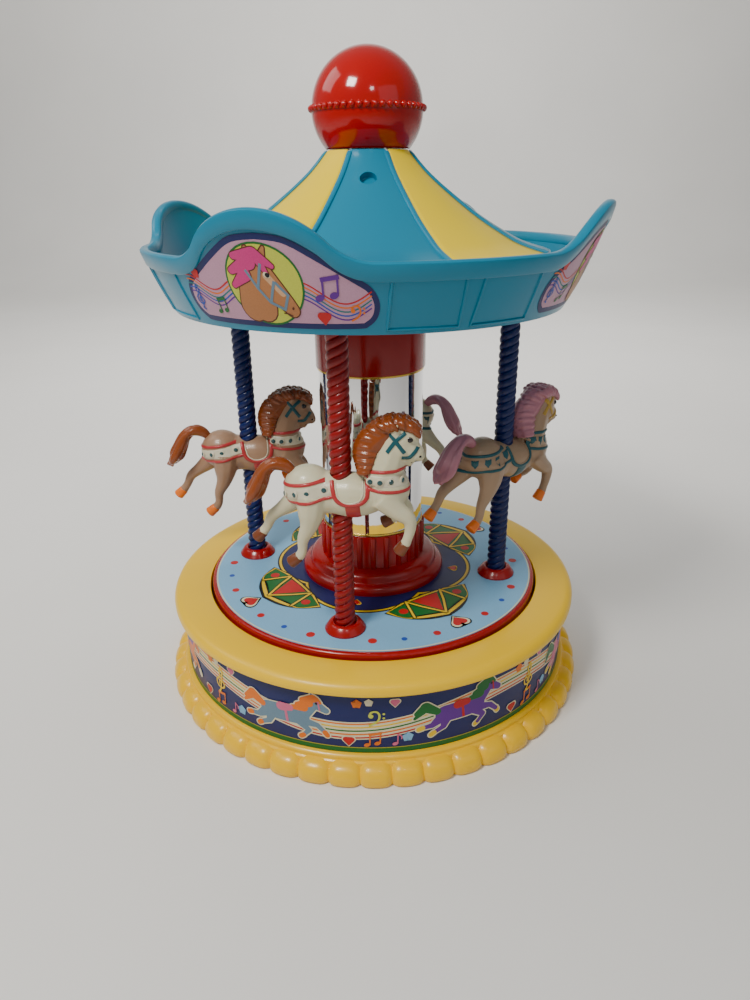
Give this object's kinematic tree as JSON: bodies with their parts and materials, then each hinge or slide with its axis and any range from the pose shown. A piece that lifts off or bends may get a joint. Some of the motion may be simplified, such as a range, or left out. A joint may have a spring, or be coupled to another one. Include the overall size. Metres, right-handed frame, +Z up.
{
  "type": "carousel music box",
  "caption": "Wind-up toy carousel music box: turning deck with leaping horses on twisted poles, mirrored column, arched canopy and ball winder on a round base.",
  "frame": {"origin": "centre of the foot on the table, on the axis of the carousel", "axes": "+Z up along the carousel axis, -Y towards the front, +X to the right"},
  "size_m": [0.18, 0.18, 0.2402],
  "materials": {
    "yellow_plastic": "glossy moulded yellow",
    "printed_band": "printed glossy label",
    "cover_plastic": "satin moulded yellow",
    "zinc_screws": "zinc plated",
    "white_plastic": "natural acetal",
    "plated_steel": "nickel plated plate",
    "comb_steel": "hardened spring steel",
    "cast_block": "cast",
    "red_plastic": "glossy moulded red",
    "printed_deck": "printed glossy label",
    "mirror_film": "mirror film on a tube",
    "gold_film": "gold foil",
    "blue_plastic": "glossy moulded blue",
    "panel_yellow": "satin moulded yellow",
    "printed_arches": "printed glossy label",
    "brass_gears": "turned brass",
    "spring_steel": "blued spring steel",
    "red_rope": "moulded rope twist",
    "blue_rope": "moulded rope twist",
    "white_horse": "painted soft plastic",
    "tan_horse": "painted soft plastic",
    "white_gears": "natural acetal"
  },
  "bodies": {
    "base": {"base_shell": "yellow_plastic", "top_ring": "yellow_plastic", "frieze_band": "printed_band", "bottom_cover": "cover_plastic", "cover_screws": "zinc_screws", "cam_track": "white_plastic", "bedplate": "plated_steel", "bedplate_screws": "zinc_screws", "cylinder_brackets": "plated_steel", "music_comb": "comb_steel", "comb_block": "cast_block", "comb_screws": "zinc_screws", "train_bridge": "plated_steel", "pawl_post": "plated_steel"},
    "carousel": {"deck": "red_plastic", "deck_label": "printed_deck", "deck_screws": "zinc_screws", "pole_bushes": "red_plastic", "pedestal": "red_plastic", "mirror_tube": "mirror_film", "gold_bands": "gold_film", "collar": "red_plastic", "canopy": "blue_plastic", "canopy_roof": "blue_plastic", "roof_panels": "panel_yellow", "canopy_labels": "printed_arches", "roof_screws": "zinc_screws", "spring_barrel": "brass_gears", "barrel_cap": "brass_gears", "mainspring": "spring_steel"},
    "winder": {"winding_shaft": "plated_steel", "ratchet_wheel": "plated_steel", "ball_cup": "red_plastic", "ball_dome": "red_plastic"},
    "cylinder": {"music_cylinder": "brass_gears", "cylinder_pinion": "brass_gears"},
    "idler": {"idler_wheel": "white_gears", "idler_arbor": "plated_steel"},
    "governor": {"governor_pinion": "white_gears", "governor_fan": "plated_steel"},
    "pawl": {"ratchet_pawl": "plated_steel"},
    "pole_front": {"pole_front": "red_rope"},
    "horse_front": {"horse_front": "white_horse"},
    "pole_right": {"pole_right": "blue_rope"},
    "horse_right": {"horse_right": "tan_horse"},
    "pole_back": {"pole_back": "red_rope"},
    "horse_back": {"horse_back": "white_horse"},
    "pole_left": {"pole_left": "blue_rope"},
    "horse_left": {"horse_left": "tan_horse"}
  },
  "joints": [
    {"name": "carousel_spin", "type": "hinge", "parent": "base", "child": "carousel", "pos_m": [0, 0, 0.04], "axis": [0, 0, 1], "continuous": true},
    {"name": "winder_turn", "type": "hinge", "parent": "base", "child": "winder", "pos_m": [0, 0, 0.22], "axis": [0, 0, 1], "continuous": true},
    {"name": "lift_front", "type": "slide", "parent": "carousel", "child": "pole_front", "axis": [0, 0, 1], "range_m": [-0.0075, 0.0005]},
    {"name": "swivel_front", "type": "hinge", "parent": "pole_front", "child": "horse_front", "pos_m": [-0.01076, -0.05241, 0.1], "axis": [0, 0, 1], "range_deg": [-63.6, 236.4]},
    {"name": "lift_right", "type": "slide", "parent": "carousel", "child": "pole_right", "axis": [0, 0, 1], "range_m": [-0.0045, 0.0035]},
    {"name": "swivel_right", "type": "hinge", "parent": "pole_right", "child": "horse_right", "pos_m": [0.05241, -0.01076, 0.1], "axis": [0, 0, 1], "range_deg": [-18.6, 281.4]},
    {"name": "lift_back", "type": "slide", "parent": "carousel", "child": "pole_back", "axis": [0, 0, 1], "range_m": [-0.004, 0.004]},
    {"name": "swivel_back", "type": "hinge", "parent": "pole_back", "child": "horse_back", "pos_m": [0.01076, 0.05241, 0.1], "axis": [0, 0, 1], "range_deg": [-43.6, 256.4]},
    {"name": "lift_left", "type": "slide", "parent": "carousel", "child": "pole_left", "axis": [0, 0, 1], "range_m": [-0.0005, 0.0075]},
    {"name": "swivel_left", "type": "hinge", "parent": "pole_left", "child": "horse_left", "pos_m": [-0.05241, 0.01076, 0.1], "axis": [0, 0, 1], "range_deg": [-163.6, 136.4]},
    {"name": "cylinder_turn", "type": "hinge", "parent": "base", "child": "cylinder", "pos_m": [-0.03, 0, 0.0212], "axis": [1, 0, 0], "continuous": true},
    {"name": "idler_turn", "type": "hinge", "parent": "base", "child": "idler", "pos_m": [0.02387, 0.00776, 0.012], "axis": [0, 0, 1], "continuous": true},
    {"name": "governor_turn", "type": "hinge", "parent": "base", "child": "governor", "pos_m": [0.02856, 0.02524, 0.012], "axis": [0, 0, 1], "continuous": true},
    {"name": "pawl_lift", "type": "hinge", "parent": "base", "child": "pawl", "pos_m": [0.0041, -0.0087, 0.009], "axis": [0, 0, 1], "range_deg": [0, 12], "stiffness_Nm_per_rad": 0.002}
  ],
  "couplings": [
    {"joint": "cylinder_turn", "follows": "carousel_spin", "ratio": -3.6},
    {"joint": "idler_turn", "follows": "carousel_spin", "ratio": -4},
    {"joint": "governor_turn", "follows": "carousel_spin", "ratio": 16}
  ]
}
